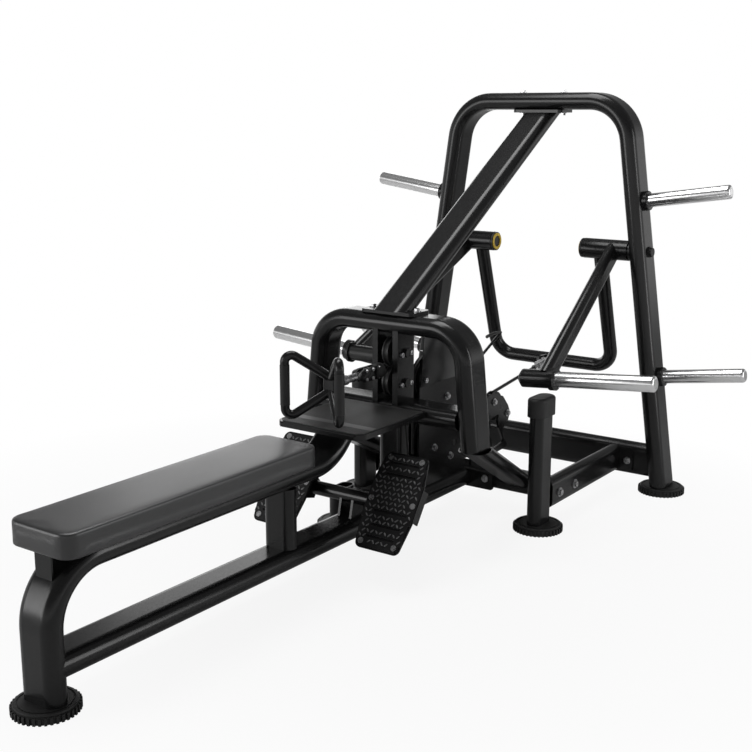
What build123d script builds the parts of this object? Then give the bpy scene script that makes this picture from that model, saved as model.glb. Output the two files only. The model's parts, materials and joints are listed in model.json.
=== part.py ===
from build123d import *
from math import atan2, cos, degrees, hypot, radians, sin, tan
import os

# Seated cable row, plate loaded. Millimetres, +Z up, +X from the seat towards the gantry,
# +Y to the left of someone who sits on the pad. The origin lies on the floor, in the middle
# of the machine's length and width.

os.makedirs("parts", exist_ok=True)

# ---------------------------------------------------------------- driving dimensions
# flat oval steel tube
tube_w, tube_h = 120.0, 60.0          # main frame
post_w, post_h = 100.0, 50.0          # posts, side rails, seat column
wall = 3.0                            # steel wall of every tube
plate = 10.0                          # flange plates
sheet = 5.0                           # formed sheet brackets

# places along the machine, counted from the front post
column_run = 845.0
tray_run = 1013.0
foot_row_run = 1040.0                 # lower bolt row of the footplates
crossbar_run = 1175.0
outrigger_run, outrigger_y = 1383.0, 193.0
arch_run = 1409.0
post_run = 1734.0
cross_run = 1858.0                    # front cross tube
gantry_run = 2350.0

# heights and half widths
rail_z = 108.0
seat_tube_z = 345.0
seat_bend, rear_bend = 150.0, 180.0    # over the front foot, and up under the tray
post_y = 352.0
post_top = 400.0
cap_wall, cap_skirt, cap_crown = 8.0, 11.0, 51.0      # rubber cap on a bump post
gantry_y = 531.0                      # half width on the floor
gantry_top_y = 331.0                  # half width where the leg lines meet the top tube
gantry_top_z = 1381.0
gantry_bend = 150.0
arch_y = 300.0
arch_top_y = 263.0
arch_bottom_z = 345.0
arch_top_z = 705.0
arch_bend = 110.0

# feet
foot_r, foot_h = 82.0, 24.0
foot_teeth, foot_notch = 38, 6.5

# seat
pad_length, pad_width, pad_thick = 897.0, 214.0, 64.0
pad_overhang = 2.0                    # pad in front of the post's centre line
pad_gap = 0.3
pad_plate = 5.0
pad_corner, pad_edge = 37.0, 8.0       # rounding of the pad seen from above, and of its top edge
plate_inset, plate_end_inset = 32.0, 18.0   # the pad's plate stays this far inside the pad
screw_r = 4.2

# tray
tray_z = 451.0
tray_width, tray_thick, mat_thick = 316.0, 19.0, 3.0

# footplates
foot_plate_y = 196.0
foot_plate_len, foot_plate_w = 280.0, 150.0
foot_plate_lean = 34.7                # degrees from upright
foot_row_z = 125.0
foot_bolt_rows = ((0.0, 58.0), (131.0, 73.0), (264.0, 55.0))   # along the plate, half spacing
crossbar_z, crossbar_r, crossbar_half = 199.0, 22.0, 186.0

# cable and pulleys
cable_r = 6.0
cable_z = 565.0                       # height of the run to the handle
guide_r, turn_r = 48.0, 75.0          # radius of the cable's centre line on the pulleys
guide_run = 1400.0
turn_run = 1590.0
cable_slope = 6.7                     # degrees, last run up to the swing frame
cable_rise_at, cable_rise_z = 2016.0, 355.1   # corner of the route over the rear pulley
drop_z = 170.0                        # corner of the route under the low pulley
pulley_width, pulley_hub, axle_r = 22.0, 18.0, 10.0
rim, nip = 4.0, -1.0                  # flange edge outside the cable's centre line, free and paired
housing_gap = 28.0                    # half the room between the pulley plates
running = 0.05                        # radial clearance of a pivot

# swing frame
pivot_z = 862.0                       # on the gantry's centre line
pin_back = 150.0                      # U bottom behind the pivot
u_drop = 462.0                        # U bottom below the pivot
u_y, u_r, u_bend = 248.0, 25.0, 72.0
sleeve_r, sleeve_in, sleeve_out = 36.0, 190.0, 362.0
shaft_r = 20.0
arm_w, arm_h = 70.0, 40.0
arm_top_y, arm_low_y = 300.0, 372.0
horn_run, horn_z, horn_y = 1712.0, 517.0, 394.0
horn_tilt = 5.0
horn_r, horn_len, horn_round = 25.0, 332.0, 9.0
cross_r, cross_in = 30.0, 296.0
collar_r, collar_len = 36.0, 18.0
link_run, link_len = 2430.0, 90.0

# storage pegs
peg_z = (1040.0, 422.0)
peg_r, peg_len, peg_round = 24.0, 290.0, 9.0
peg_flange_r, peg_flange, peg_flange_round = 34.0, 18.0, 3.0

# handle
apex_run = 1083.0
grip_run, grip_y = 990.0, 100.0
grip_low, grip_high = 462.0, 672.0
bar_r, grip_r, grip_len = 13.5, 14.5, 120.0
handle_bend = 20.0

# ---------------------------------------------------------------- worked out
rear_run = gantry_run + pin_back + u_r
front_x = (foot_r - rear_run) / 2
column_x, tray_x, foot_row_x = front_x + column_run, front_x + tray_run, front_x + foot_row_run
crossbar_x, outrigger_x = front_x + crossbar_run, front_x + outrigger_run
arch_x, post_x, cross_x = front_x + arch_run, front_x + post_run, front_x + cross_run
gantry_x = front_x + gantry_run
guide_x, turn_x = front_x + guide_run, front_x + turn_run
rail_top = rail_z + tube_h / 2
seat_top = seat_tube_z + tube_h / 2
pad_bottom = seat_top + pad_plate + pad_gap
shaft_bore = shaft_r + running


def gantry_leg_y(z):
    """Centre line of a gantry leg at height z."""
    return gantry_y + (gantry_top_y - gantry_y) * z / gantry_top_z


def arch_leg_y(z):
    """Centre line of an arch leg at height z."""
    return arch_y + (arch_top_y - arch_y) * (z - arch_bottom_z) / (arch_top_z - arch_bottom_z)


gantry_lean = atan2(gantry_y - gantry_top_y, gantry_top_z)
arch_lean = atan2(arch_y - arch_top_y, arch_top_z - arch_bottom_z)


def gantry_inner_y(z):
    """Inner face of a gantry leg at height z."""
    return gantry_leg_y(z) - tube_h / 2 / cos(gantry_lean)


def gantry_outer_y(z):
    """Outer face of a gantry leg at height z."""
    return gantry_leg_y(z) + tube_h / 2 / cos(gantry_lean)


def arch_inner_y(z):
    """Inner face of an arch leg at height z."""
    return arch_leg_y(z) - tube_h / 2 / cos(arch_lean)


def past_leg(side, inner_y, low, high):
    """Outline, in the Y-Z plane, of all that lies beyond the inner face of a leaning leg."""
    Polyline((side * inner_y(low), low), (side * inner_y(high), high),
             (side * 2 * gantry_y, high), (side * 2 * gantry_y, low), close=True)


def oval(width, height, turn=0):
    """Flat oval tube section, drawn in the open sketch."""
    SlotOverall(width, height, rotation=turn)
    SlotOverall(width - 2 * wall, height - 2 * wall, rotation=turn, mode=Mode.SUBTRACT)


def along_x(x, y, z):
    """Plane that faces +X, with its own x axis along Y."""
    return Plane(origin=(x, y, z), x_dir=(0, 1, 0), z_dir=(1, 0, 0))


def along_y(x, y, z):
    """Plane that faces +Y, with its own x axis along X."""
    return Plane(origin=(x, y, z), x_dir=(1, 0, 0), z_dir=(0, 1, 0))


def along_z(x, y, z):
    """Plane that faces up, with its own x axis along Y."""
    return Plane(origin=(x, y, z), x_dir=(0, 1, 0), z_dir=(0, 0, 1))


def side_view(y):
    """Plane at y seen from the right-hand side: its own axes are X and Z, it faces -Y."""
    return Plane(origin=(0, y, 0), x_dir=(1, 0, 0), z_dir=(0, -1, 0))


def outward(side, x, y, z, tilt):
    """Plane that faces out to one side and up by the tilt, with its own x axis along X."""
    return Plane(origin=(x, side * y, z), x_dir=(1, 0, 0),
                 z_dir=(0, side * cos(radians(tilt)), sin(radians(tilt))))


def finish(part, name):
    part.label = name
    export_step(part, f"parts/{name}.step")


sides = (("left", 1), ("right", -1))

# ---------------------------------------------------------------- seat frame
# one bent tube: up from the front foot, back under the pad, and up under the tray
rear_turn = 58.0
rear_start = tray_x - 56
with BuildPart() as seat_frame_tube:
    with BuildLine() as seat_path:
        Line((front_x, 0, foot_h), (front_x, 0, seat_tube_z - seat_bend))
        TangentArc((front_x, 0, seat_tube_z - seat_bend), (front_x + seat_bend, 0, seat_tube_z),
                   tangent=(0, 0, 1))
        Line((front_x + seat_bend, 0, seat_tube_z), (rear_start, 0, seat_tube_z))
        TangentArc((rear_start, 0, seat_tube_z),
                   (rear_start + rear_bend * sin(radians(rear_turn)), 0,
                    seat_tube_z + rear_bend * (1 - cos(radians(rear_turn)))), tangent=(1, 0, 0))
    with BuildSketch(along_z(front_x, 0, foot_h)):
        oval(tube_w, tube_h)
    sweep()
    # the upper end is cut level under the tray
    with BuildSketch(Plane.XY.offset(tray_z - tray_thick)):
        with Locations((rear_start + rear_bend, 0)):
            Rectangle(4 * rear_bend, 2 * tube_w)
    extrude(amount=rear_bend, mode=Mode.SUBTRACT)
finish(seat_frame_tube.part, "seat_frame_tube")

rail_end = cross_x - tube_w / 2 - plate
with BuildPart() as main_rail:
    with BuildSketch(along_x(front_x, 0, rail_z)):
        oval(tube_w, tube_h)
    extrude(amount=rail_end - front_x)
    with BuildSketch(along_z(front_x, 0, 0)):
        SlotOverall(tube_w, tube_h)
    extrude(amount=2 * rail_z, mode=Mode.SUBTRACT)
    with BuildSketch(Plane.XY):
        with Locations((front_x - tube_w, 0)):
            Rectangle(2 * tube_w, 2 * tube_w)
    extrude(amount=2 * rail_z, mode=Mode.SUBTRACT)
finish(main_rail.part, "main_rail")

with BuildPart() as seat_column:
    with BuildSketch(along_z(column_x, 0, rail_top)):
        oval(post_w, post_h)
    extrude(amount=seat_tube_z - tube_h / 2 - rail_top)
finish(seat_column.part, "seat_column")

pad_x = front_x - pad_overhang + pad_length / 2
front_plate_w = 56.0                  # upright plate that closes the gap over the front bend
with BuildPart() as pad_mount_plate:
    with BuildSketch(Plane.XY.offset(seat_tube_z - tube_h)):
        with Locations((pad_x - pad_length / 2 + plate_end_inset + sheet / 2, 0)):
            Rectangle(sheet, front_plate_w)
    extrude(amount=seat_top - seat_tube_z + tube_h)
    with BuildSketch(along_y(front_x + seat_bend, -tube_w, seat_tube_z - seat_bend)):
        Circle(seat_bend + tube_h / 2)
    extrude(amount=2 * tube_w, mode=Mode.SUBTRACT)
    with BuildSketch(Plane.XY.offset(seat_top)):
        with Locations((pad_x, 0)):
            RectangleRounded(pad_length - 2 * plate_end_inset, pad_width - 2 * plate_inset, 12)
            with GridLocations(pad_length - 4 * plate_inset, pad_width - 3.4 * plate_inset, 3, 2):
                Circle(screw_r, mode=Mode.SUBTRACT)
    extrude(amount=pad_plate)
finish(pad_mount_plate.part, "pad_mount_plate")

with BuildPart() as seat_pad:
    with BuildSketch(Plane.XY.offset(pad_bottom)):
        with Locations((pad_x, 0)):
            RectangleRounded(pad_length, pad_width, pad_corner)
    extrude(amount=pad_thick)
    fillet(seat_pad.edges().group_by(Axis.Z)[-1], pad_edge)
    fillet(seat_pad.edges().group_by(Axis.Z)[0], 6)
finish(seat_pad.part, "seat_pad")

# ---------------------------------------------------------------- feet
foot_places = [(front_x, 0.0), (outrigger_x, outrigger_y)]
for name, s in sides:
    foot_places.append((post_x, s * post_y))
    foot_places.append((gantry_x, s * gantry_leg_y(foot_h)))
with BuildPart() as levelling_feet:
    with BuildSketch(Plane.XY):
        with Locations(*foot_places):
            Circle(foot_r)
            with PolarLocations(foot_r, foot_teeth):
                Rectangle(10, foot_notch, mode=Mode.SUBTRACT)
    extrude(amount=foot_h - 6)
    with BuildSketch(Plane.XY.offset(foot_h - 6)):
        with Locations(*foot_places):
            Circle(foot_r - 6)
    extrude(amount=6)
finish(levelling_feet.part, "levelling_feet")

# ---------------------------------------------------------------- base frame
side_inner = post_y - post_h / 2
with BuildPart() as front_cross_tube:
    with BuildSketch(along_y(cross_x, -side_inner, rail_z)):
        oval(tube_w, tube_h)
    extrude(amount=2 * side_inner)
finish(front_cross_tube.part, "front_cross_tube")

rail_bolt_y = 116.0
with BuildPart() as rail_flange:
    with BuildSketch(along_x(rail_end, 0, rail_z)):
        RectangleRounded(290, tube_h, 8)
        with GridLocations(2 * rail_bolt_y, 0, 2, 1):
            Circle(6.5, mode=Mode.SUBTRACT)
    extrude(amount=plate)
finish(rail_flange.part, "rail_flange")

rear_face = gantry_x - tube_h / 2
end_plate_t, end_bolt_y = 8.0, 56.0   # plate at a side rail's rear end, its bolts beside the rail
for name, s in sides:
    with BuildPart() as side_rail:
        with BuildSketch(along_x(post_x + post_w / 2, s * post_y, rail_z)):
            oval(post_w, post_h, 90)
        extrude(amount=rear_face - post_x - post_w / 2)
        # end plate on the rear cross tube
        with BuildSketch(along_x(rear_face - end_plate_t, s * post_y, rail_z)):
            RectangleRounded(150, 88, 8)
        extrude(amount=end_plate_t)
    finish(side_rail.part, f"side_rail_{name}")

    with BuildPart() as bump_post:
        with BuildSketch(along_z(post_x, s * post_y, foot_h)):
            oval(post_w, post_h, 90)
        extrude(amount=post_top - foot_h)
    finish(bump_post.part, f"bump_post_{name}")

cap_places = [(post_x, s * post_y) for name, s in sides]
with BuildPart() as bump_caps:
    with BuildSketch(Plane.XY.offset(post_top - cap_skirt)):
        with Locations(*cap_places):
            SlotOverall(post_w + 2 * cap_wall, post_h + 2 * cap_wall)
    extrude(amount=cap_skirt + cap_crown)
    fillet(bump_caps.edges().group_by(Axis.Z)[-1], cap_skirt)
    with BuildSketch(Plane.XY.offset(post_top - cap_skirt)):
        with Locations(*cap_places):
            SlotOverall(post_w, post_h)
    extrude(amount=cap_skirt, mode=Mode.SUBTRACT)
finish(bump_caps.part, "bump_caps")

with BuildPart() as rear_cross_tube:
    with BuildSketch(along_y(gantry_x, -gantry_y, rail_z)):
        oval(tube_w, tube_h, 90)
    extrude(amount=2 * gantry_y)
    # the ends are cut to the inner faces of the leaning legs
    for name, s in sides:
        with BuildSketch(Plane.YZ.offset(gantry_x - tube_w)):
            with BuildLine():
                past_leg(s, gantry_inner_y, 0, 2 * rail_z)
            make_face()
        extrude(amount=2 * tube_w, mode=Mode.SUBTRACT)
finish(rear_cross_tube.part, "rear_cross_tube")

# ---------------------------------------------------------------- gantry and arch
with BuildPart() as gantry_frame:
    with BuildLine() as gantry_path:
        FilletPolyline((gantry_x, gantry_leg_y(foot_h), foot_h),
                       (gantry_x, gantry_top_y, gantry_top_z),
                       (gantry_x, -gantry_top_y, gantry_top_z),
                       (gantry_x, -gantry_leg_y(foot_h), foot_h), radius=gantry_bend)
    with BuildSketch(Plane(origin=gantry_path.line @ 0, x_dir=(1, 0, 0), z_dir=gantry_path.line % 0)):
        oval(tube_w, tube_h)
    sweep()
    # the legs stand flat on their feet and carry the pivot shafts
    with BuildSketch(Plane.XY):
        with Locations((gantry_x, 0)):
            Rectangle(3 * tube_w, 3 * gantry_y)
    extrude(amount=foot_h, mode=Mode.SUBTRACT)
    with BuildSketch(along_y(gantry_x, -2 * gantry_y, pivot_z)):
        Circle(shaft_bore)
    extrude(amount=4 * gantry_y, mode=Mode.SUBTRACT)
finish(gantry_frame.part, "gantry_frame")

with BuildPart() as arch_frame:
    with BuildLine() as arch_path:
        below = arch_bottom_z - tube_h
        FilletPolyline((arch_x, arch_leg_y(below), below), (arch_x, arch_top_y, arch_top_z),
                       (arch_x, -arch_top_y, arch_top_z), (arch_x, -arch_leg_y(below), below),
                       radius=arch_bend)
    with BuildSketch(Plane(origin=arch_path.line @ 0, x_dir=(1, 0, 0), z_dir=arch_path.line % 0)):
        oval(tube_w, tube_h)
    sweep()
    # the legs end level on the shoes of the braces
    with BuildSketch(Plane.XY):
        with Locations((arch_x, 0)):
            Rectangle(3 * tube_w, 3 * arch_y)
    extrude(amount=arch_bottom_z, mode=Mode.SUBTRACT)
finish(arch_frame.part, "arch_frame")

member_z = 430.0
with BuildPart() as arch_cross_member:
    with BuildSketch(along_y(arch_x, -arch_y, member_z)):
        oval(tube_w, tube_h)
    extrude(amount=2 * arch_y)
    # the ends are cut to the inner faces of the leaning legs
    for name, s in sides:
        with BuildSketch(Plane.YZ.offset(arch_x - tube_w)):
            with BuildLine():
                past_leg(s, arch_inner_y, member_z - tube_w, member_z + tube_w)
            make_face()
        extrude(amount=2 * tube_w, mode=Mode.SUBTRACT)
finish(arch_cross_member.part, "arch_cross_member")

brace_y = 225.0                       # where a brace lands on the front cross tube
shoe_z = arch_bottom_z - sheet
for name, s in sides:
    with BuildPart() as arch_brace:
        top = Vector(arch_x, s * arch_y, shoe_z)
        run = Vector(cross_x - 10, s * brace_y, rail_z) - top
        with BuildSketch(Plane(origin=top - run * 0.3, x_dir=(0, 1, 0), z_dir=run.normalized())):
            oval(post_w, post_h)
        extrude(amount=1.3 * run.length)
        # cut level under the shoe and coped over the cross tube
        with BuildSketch(Plane.XY.offset(shoe_z)):
            Rectangle(3 * gantry_run, 3 * gantry_y)
        extrude(amount=tube_w, mode=Mode.SUBTRACT)
        with BuildSketch(along_y(cross_x, -side_inner, rail_z)):
            SlotOverall(tube_w, tube_h)
        extrude(amount=2 * side_inner, mode=Mode.SUBTRACT)
        with BuildSketch(Plane.XY.offset(rail_z - tube_w)):
            Rectangle(3 * gantry_run, 3 * gantry_y)
        extrude(amount=tube_w, mode=Mode.SUBTRACT)
        # shoe plate between the brace and the arch leg
        with BuildSketch(along_z(arch_x, s * arch_y, shoe_z)):
            SlotOverall(tube_w, tube_h, rotation=90)
        extrude(amount=sheet)
    finish(arch_brace.part, f"arch_brace_{name}")

with BuildPart() as center_column:
    with BuildSketch(along_z(arch_x, 0, rail_top)):
        oval(post_w, post_h)
    extrude(amount=member_z - tube_h / 2 - rail_top)
finish(center_column.part, "center_column")

with BuildPart() as outrigger:
    with BuildSketch(along_z(outrigger_x, outrigger_y, foot_h)):
        oval(post_w, post_h, 90)
    extrude(amount=rail_top - foot_h)
    with BuildSketch(along_y(outrigger_x, 0, rail_z)):
        oval(post_w, post_h)
    extrude(amount=outrigger_y - post_h / 2)
    with BuildSketch(along_x(outrigger_x - post_w, 0, rail_z)):
        SlotOverall(tube_w, tube_h)
    extrude(amount=2 * post_w, mode=Mode.SUBTRACT)
    with BuildSketch(Plane.XZ):
        with Locations((outrigger_x, rail_z)):
            Rectangle(2 * post_w, 2 * post_w)
    extrude(amount=tube_w, mode=Mode.SUBTRACT)
finish(outrigger.part, "outrigger")

beam_low, beam_high = arch_top_z + tube_h / 2 + plate, gantry_top_z - tube_h / 2 - plate
with BuildPart() as main_beam:
    foot = Vector(arch_x, 0, beam_low)
    run = Vector(gantry_x, 0, beam_high) - foot
    with BuildSketch(Plane(origin=foot - run * 0.2, x_dir=(0, 1, 0), z_dir=run.normalized())):
        oval(tube_w, tube_h)
    extrude(amount=1.4 * run.length)
    with BuildSketch(Plane.XY.offset(beam_low - 2 * tube_w)):
        Rectangle(3 * gantry_run, 2 * tube_w)
    extrude(amount=2 * tube_w, mode=Mode.SUBTRACT)
    with BuildSketch(Plane.XY.offset(beam_high)):
        Rectangle(3 * gantry_run, 2 * tube_w)
    extrude(amount=2 * tube_w, mode=Mode.SUBTRACT)
finish(main_beam.part, "main_beam")

flange_len, flange_w, flange_bolt_y = 196.0, 100.0, 82.0
with BuildPart() as beam_flanges:
    for x, z in ((arch_x, beam_low - plate), (gantry_x, beam_high)):
        with BuildSketch(along_z(x, 0, z)):
            RectangleRounded(flange_len, flange_w, 14)
        extrude(amount=plate)
finish(beam_flanges.part, "beam_flanges")

# ---------------------------------------------------------------- pulleys and what carries them
drop_x = front_x + turn_run + turn_r  # straight drop behind the upper turning pulley
rise_x = front_x + cable_rise_at
slope = radians(cable_slope)
climb = atan2(cable_rise_z - drop_z, rise_x - drop_x)
low_turn = radians(90) + climb
low_center = (drop_x + guide_r, drop_z + guide_r * tan(low_turn / 2))
half_turn = (climb - slope) / 2
rear_center = (rise_x + guide_r * tan(half_turn) * cos(slope) + guide_r * sin(slope),
               cable_rise_z + guide_r * tan(half_turn) * sin(slope) - guide_r * cos(slope))
pulley_places = {
    "guide_pulley_upper": (guide_x, cable_z + guide_r, guide_r, nip),
    "guide_pulley_lower": (guide_x, cable_z - guide_r, guide_r, nip),
    "turning_pulley": (turn_x, cable_z - turn_r, turn_r, rim),
    "low_pulley": (*low_center, guide_r, rim),
    "rear_pulley": (*rear_center, guide_r, rim),
}
groove = cable_r + 0.2                # radius of the groove's floor
under_groove = 6.0                    # material left under the groove
web_inset = 4.0                       # recess of the web on each side
for name, (x, z, r, lip) in pulley_places.items():
    with BuildPart() as pulley:
        with BuildSketch(Plane.XY):
            with Locations(((r + lip) / 2, 0)):
                Rectangle(r + lip, pulley_width)
            with Locations((pulley_hub / 2, 0)):
                Rectangle(pulley_hub, 2 * housing_gap - 1)
            with Locations((r, 0)):
                Circle(groove, mode=Mode.SUBTRACT)
            with BuildLine():
                Polyline((r, groove), (r + pulley_width, 2.5 * groove), (r + pulley_width, -2.5 * groove),
                         (r, -groove), close=True)
            make_face(mode=Mode.SUBTRACT)
            web_start, web_end = pulley_hub, r - groove - under_groove
            for side in (1, -1):
                with Locations(((web_start + web_end) / 2, side * pulley_width / 2)):
                    Rectangle(web_end - web_start, 2 * web_inset, mode=Mode.SUBTRACT)
            with Locations(((axle_r + running) / 2, 0)):
                Rectangle(axle_r + running, 4 * housing_gap, mode=Mode.SUBTRACT)
        revolve(axis=Axis.Y)
    finish(pulley.part.moved(Location((x, 0, z))), name)

housing_t, housing_w = 20.0, 90.0
with BuildPart() as guide_housing:
    for side in (1, -1):
        start = housing_gap if side == 1 else -housing_gap - housing_t
        with BuildSketch(along_y(guide_x, start, cable_z)):
            Rectangle(housing_w, 2 * (arch_top_z - cable_z))
        extrude(amount=housing_t)
    with BuildSketch(along_y(guide_x, -tube_w, cable_z)):
        with GridLocations(0, 2 * guide_r, 1, 2):
            Circle(axle_r)
    extrude(amount=2 * tube_w, mode=Mode.SUBTRACT)
    for z in (arch_top_z, member_z):
        with BuildSketch(along_y(arch_x, -tube_w, z)):
            SlotOverall(tube_w, tube_h)
        extrude(amount=2 * tube_w, mode=Mode.SUBTRACT)
    with BuildSketch(Plane.XY):
        with Locations((arch_x, 0)):
            Rectangle(3 * tube_w, 3 * tube_w)
    extrude(amount=member_z, mode=Mode.SUBTRACT)
    with BuildSketch(Plane.XY.offset(arch_top_z)):
        with Locations((arch_x, 0)):
            Rectangle(3 * tube_w, 3 * tube_w)
    extrude(amount=tube_w, mode=Mode.SUBTRACT)
finish(guide_housing.part, "guide_housing_plates")

hook_x, hook_z, hook_r = arch_x - 28, cable_z + 30, 25.0
hook_start, hook_len, hook_rim = housing_gap + housing_t, 96.0, 12.0
with BuildPart() as hook_roller:
    with BuildSketch(along_y(hook_x, hook_start, hook_z)):
        Circle(hook_r)
    extrude(amount=hook_len)
    with BuildSketch(along_y(hook_x, hook_start + hook_len, hook_z)):
        Circle(hook_r + 7)
    extrude(amount=hook_rim)
    fillet(hook_roller.edges().group_by(Axis.Y)[-1], hook_rim / 3)
finish(hook_roller.part, "hook_roller")

tower_t = 8.0
turn_z = cable_z - turn_r
low_x, low_z = low_center
far_plate_top = turn_z + 18           # the left plate ends here
with BuildPart() as tower_plates:
    for start in (housing_gap, -housing_gap - tower_t):
        with BuildSketch(side_view(start)) as tower_outline:
            with BuildLine():
                Polyline((turn_x - 92, rail_top), (turn_x - 92, cable_z - 60), (turn_x - 76, cable_z + 14),
                         (turn_x + 60, cable_z + 20), (turn_x + 150, cable_z - 110),
                         (low_x + 62, low_z + 60), (low_x + 72, rail_top), close=True)
            make_face()
            fillet(tower_outline.vertices().filter_by(lambda v: v.Y > rail_top + 1), 26)
        extrude(amount=-tower_t)
    for x, z in ((turn_x, turn_z), low_center):
        with BuildSketch(along_y(x, -tube_w, z)):
            Circle(axle_r)
        extrude(amount=2 * tube_w, mode=Mode.SUBTRACT)
    with BuildSketch(Plane.XY.offset(far_plate_top)):
        with Locations((turn_x, tube_w)):
            Rectangle(4 * turn_r, 2 * tube_w)
    extrude(amount=turn_r * 2, mode=Mode.SUBTRACT)
finish(tower_plates.part, "tower_plates")

rear_x, rear_z = rear_center
with BuildPart() as rear_pulley_bracket:
    for start in (housing_gap, -housing_gap - tower_t):
        with BuildSketch(side_view(start)) as bracket_outline:
            with BuildLine():
                Polyline((cross_x - 30, rail_top), (cross_x - 26, rear_z - 70), (rear_x - 120, rear_z + 44),
                         (rear_x - 80, rear_z + 60), (rear_x + 13, rear_z + 38), (rear_x + 52, rear_z - 3),
                         (rear_x + 68, rear_z - 33), (rear_x + 55, rear_z - 60), (rear_x + 14, rear_z - 88),
                         (rear_x + 20, rear_z - 118), (rear_x + 65, rail_top + 12),
                         (cross_x + 40, rail_top), close=True)
            make_face()
            fillet(bracket_outline.vertices().filter_by(lambda v: v.Y > rail_top + 1), 10)
        extrude(amount=-tower_t)
    # opening below the pulley
    with BuildSketch(side_view(tube_w)) as bracket_window:
        with BuildLine():
            Polyline((rear_x - 65, rear_z - 28), (rear_x - 12, rear_z - 24), (rear_x - 20, rear_z - 46),
                     (rear_x - 12, rear_z - 76), (rear_x + 24, rear_z - 134), (rear_x - 50, rear_z - 146),
                     (rear_x - 80, rear_z - 88), close=True)
        make_face()
        fillet(bracket_window.vertices(), 5)
    extrude(amount=2 * tube_w, mode=Mode.SUBTRACT)
    with BuildSketch(along_y(rear_x, -tube_w, rear_z)):
        Circle(axle_r)
    extrude(amount=2 * tube_w, mode=Mode.SUBTRACT)
finish(rear_pulley_bracket.part, "rear_pulley_bracket")

guard_gap, guard_t = 10.0, 3.0
with BuildPart() as pulley_guard:
    with BuildSketch(side_view(housing_gap)) as guard_section:
        with Locations((turn_x, turn_z)):
            Circle(turn_r + rim + guard_gap)
            Circle(turn_r + rim + guard_gap - guard_t, mode=Mode.SUBTRACT)
            with Locations((0, -2 * turn_r), (-2 * turn_r, 0)):
                Rectangle(4 * turn_r, 4 * turn_r, mode=Mode.SUBTRACT)
    extrude(amount=2 * housing_gap)
finish(pulley_guard.part, "pulley_guard")

head_r, head_t = 15.0, 9.0
with BuildPart() as pulley_axles:
    for name, (x, z, r, lip) in pulley_places.items():
        half = housing_gap + (housing_t if name.startswith("guide") else tower_t)
        with BuildSketch(along_y(x, -half, z)):
            Circle(axle_r)
        extrude(amount=2 * half)
        # the hook roller sits over the left end of the upper guide axle, and the axles of the tower
        # and of the rear bracket end flush with their right plates
        starts = {"guide_pulley_upper": (-half - head_t,), "guide_pulley_lower": (-half - head_t, half)}
        for start in starts.get(name, (half,)):
            with BuildSketch(along_y(x, start, z)):
                RegularPolygon(head_r, 6)
            extrude(amount=head_t)
finish(pulley_axles.part, "pulley_axles")

# ---------------------------------------------------------------- tray and footplates
tray_end = arch_x - post_h / 2
with BuildPart() as tray:
    with BuildSketch(Plane.XY.offset(tray_z - tray_thick)):
        with Locations(((tray_x + tray_end) / 2, 0)):
            RectangleRounded(tray_end - tray_x, tray_width, 28)
    extrude(amount=tray_thick - mat_thick)
    with BuildSketch(Plane.XY.offset(tray_z - tray_thick)):
        with Locations(((tray_x + tray_end) / 2, 0)):
            RectangleRounded(tray_end - tray_x - 8, tray_width - 8, 24)
    extrude(amount=tray_thick - mat_thick - 4, mode=Mode.SUBTRACT)
    with BuildSketch(along_z((tray_x + rear_start + rear_bend) / 2 + 10, 0, tray_z - tray_thick)):
        RectangleRounded(tray_width - 30, 150, 10)
    extrude(amount=tray_thick - mat_thick - 4)
    with BuildSketch(along_y(arch_x, -arch_y, member_z)):
        SlotOverall(tube_w, tube_h)
    extrude(amount=2 * arch_y, mode=Mode.SUBTRACT)
finish(tray.part, "tray")

mat_end = arch_x - tube_w / 2 - 2
with BuildPart() as tray_mat:
    with BuildSketch(Plane.XY.offset(tray_z - mat_thick)):
        with Locations(((tray_x + mat_end) / 2, 0)):
            RectangleRounded(mat_end - tray_x - 12, tray_width - 12, 22)
    extrude(amount=mat_thick)
finish(tray_mat.part, "tray_mat")

lean = radians(foot_plate_lean)
bar_v = sin(lean) * (crossbar_x - foot_row_x) + cos(lean) * (crossbar_z - foot_row_z)
bar_n = cos(lean) * (crossbar_x - foot_row_x) - sin(lean) * (crossbar_z - foot_row_z)
rib_end = crossbar_r + 6
for name, s in sides:
    # plane of the plate: x across, y up the slope, facing the seat
    face = Plane(origin=(foot_row_x, s * foot_plate_y, foot_row_z), x_dir=(0, -1, 0),
                 z_dir=(-cos(lean), 0, sin(lean)))
    half = foot_plate_w / 2
    with BuildPart() as footplate:
        with BuildSketch(face) as plate_outline:
            with BuildLine():
                Polyline((-half, -20), (half, -20), (half + 14, 80), (half + 14, 190),
                         (half - 2, foot_plate_len), (2 - half, foot_plate_len),
                         (-half - 14, 190), (-half - 14, 80), close=True)
            make_face()
            fillet(plate_outline.vertices(), 20)
            for v, across in foot_bolt_rows:
                with Locations((-across, v), (across, v)):
                    Circle(5, mode=Mode.SUBTRACT)
        extrude(amount=-sheet)
        # rolled outer edge
        with BuildSketch(face.offset(-sheet)):
            with Locations((s * -(half + 14 - sheet / 2), 135)):
                Rectangle(sheet, 100)
        extrude(amount=-26)
        # two ribs carry the plate on the crossbar
        for y in (-42, 26):
            with BuildSketch(Plane(origin=(foot_row_x, s * foot_plate_y + s * y, foot_row_z),
                                   x_dir=(sin(lean), 0, cos(lean)), z_dir=(0, s, 0))):
                with BuildLine():
                    Polyline((bar_v - 62, s * sheet), (bar_v + 62, s * sheet),
                             (bar_v + rib_end, s * (bar_n + rib_end)),
                             (bar_v - rib_end, s * (bar_n + rib_end)), close=True)
                make_face()
            extrude(amount=-6)
        with BuildSketch(along_y(crossbar_x, -2 * gantry_y, crossbar_z)):
            Circle(crossbar_r)
        extrude(amount=4 * gantry_y, mode=Mode.SUBTRACT)
    finish(footplate.part, f"footplate_{name}")

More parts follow.
